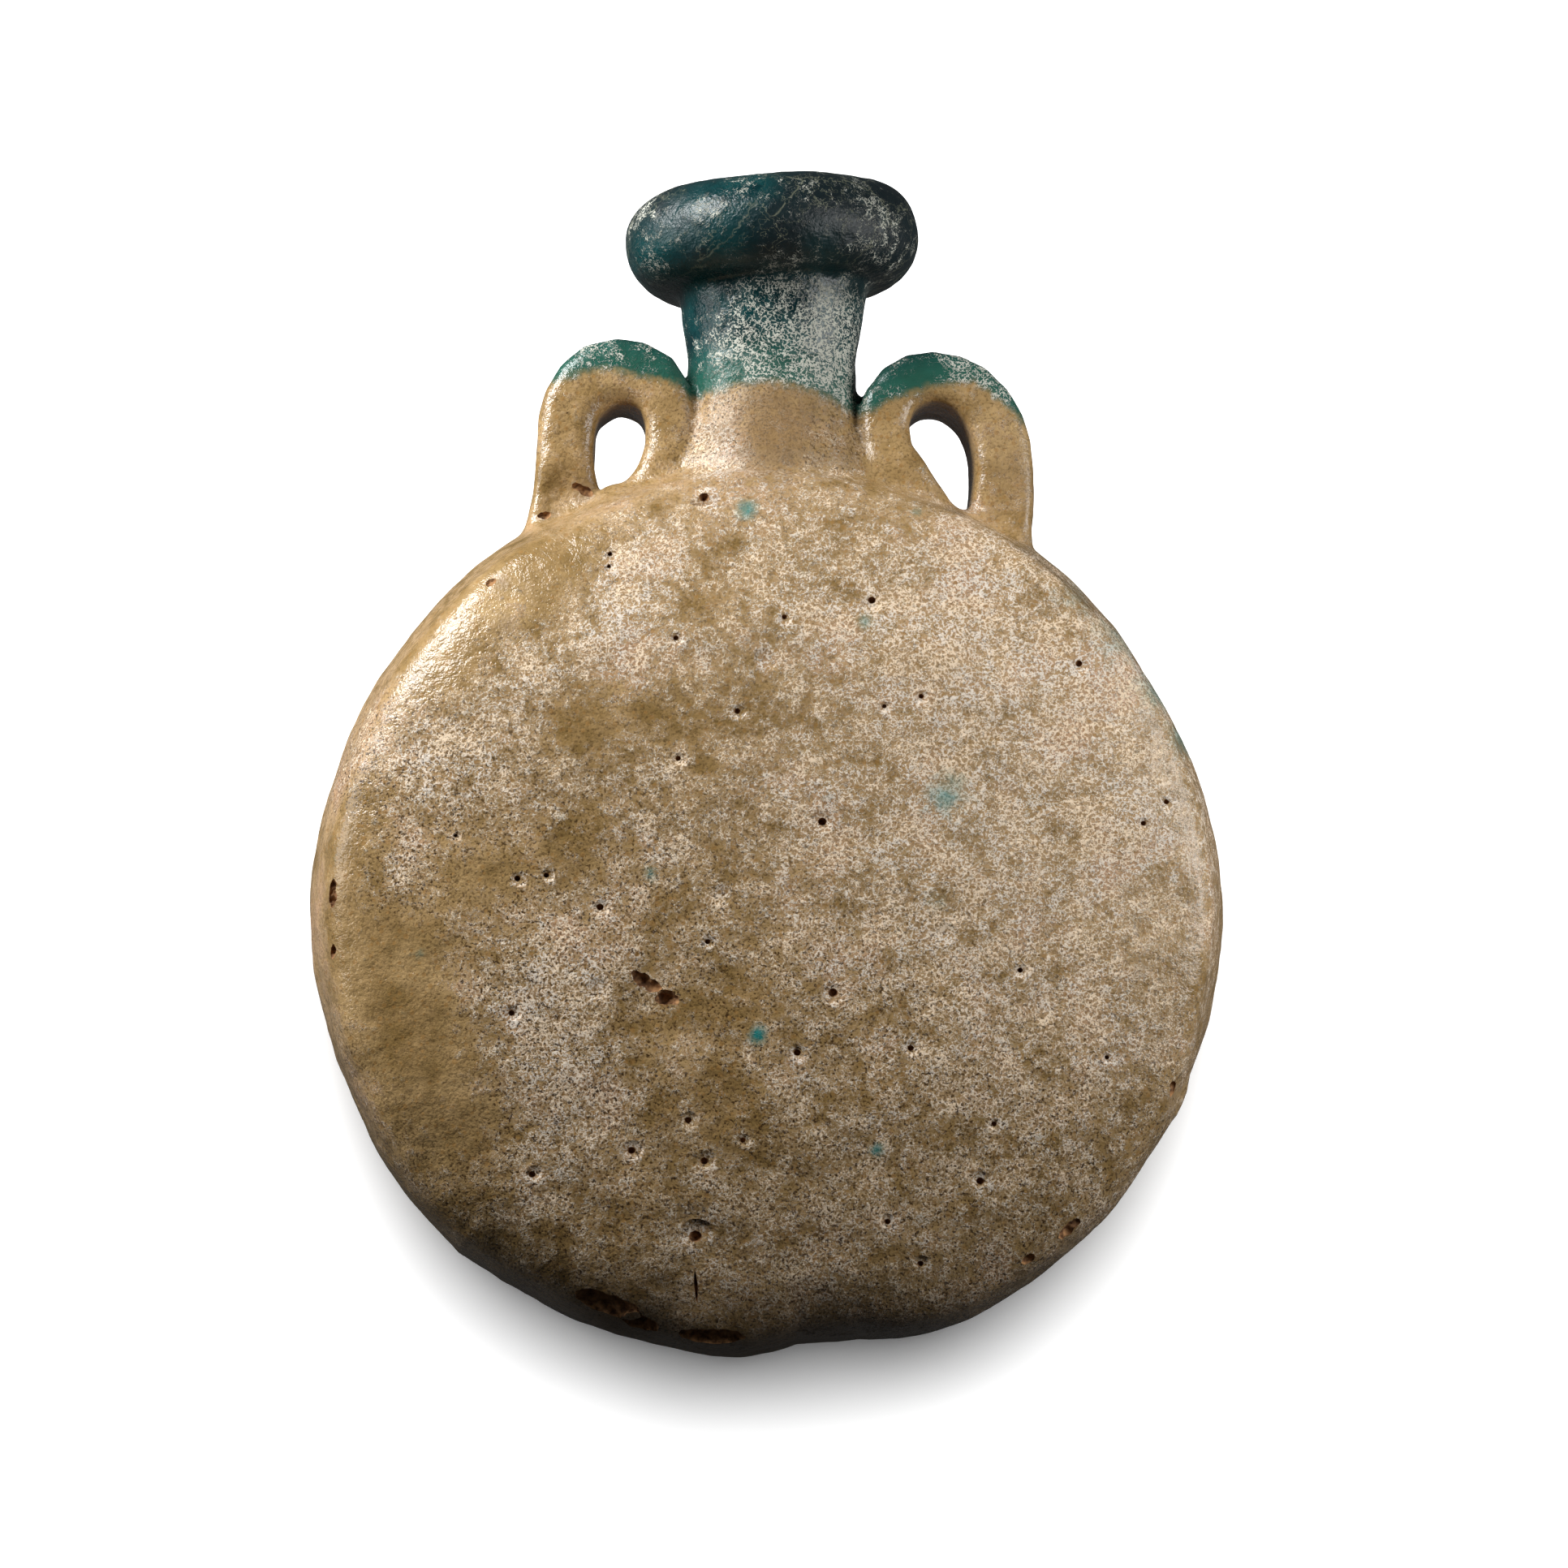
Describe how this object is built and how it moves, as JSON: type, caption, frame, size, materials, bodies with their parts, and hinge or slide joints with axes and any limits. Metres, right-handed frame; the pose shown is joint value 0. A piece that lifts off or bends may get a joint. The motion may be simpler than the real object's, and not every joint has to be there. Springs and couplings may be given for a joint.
{
  "type": "pilgrim flask",
  "caption": "Round flat-backed flask with a short flared neck, a thick rolled mouth ring and two strap handles on the shoulders.",
  "frame": {"origin": "centre of the flat back face that the flask lies on", "axes": "+Y along the neck towards the mouth, +Z out of the domed front face, +X to the right of the front"},
  "size_m": [0.18, 0.2365, 0.072],
  "materials": {
    "buff_glaze": "crackled buff glaze under a fine pale crust",
    "teal_glaze": "dark turquoise glaze with pale flaky patches"
  },
  "bodies": {
    "root": {"back_shell": "buff_glaze", "front_shell": "buff_glaze", "seam_coil": "buff_glaze", "neck": "teal_glaze", "mouth_ring": "teal_glaze", "handle_left": "buff_glaze", "handle_right": "buff_glaze"}
  },
  "joints": []
}
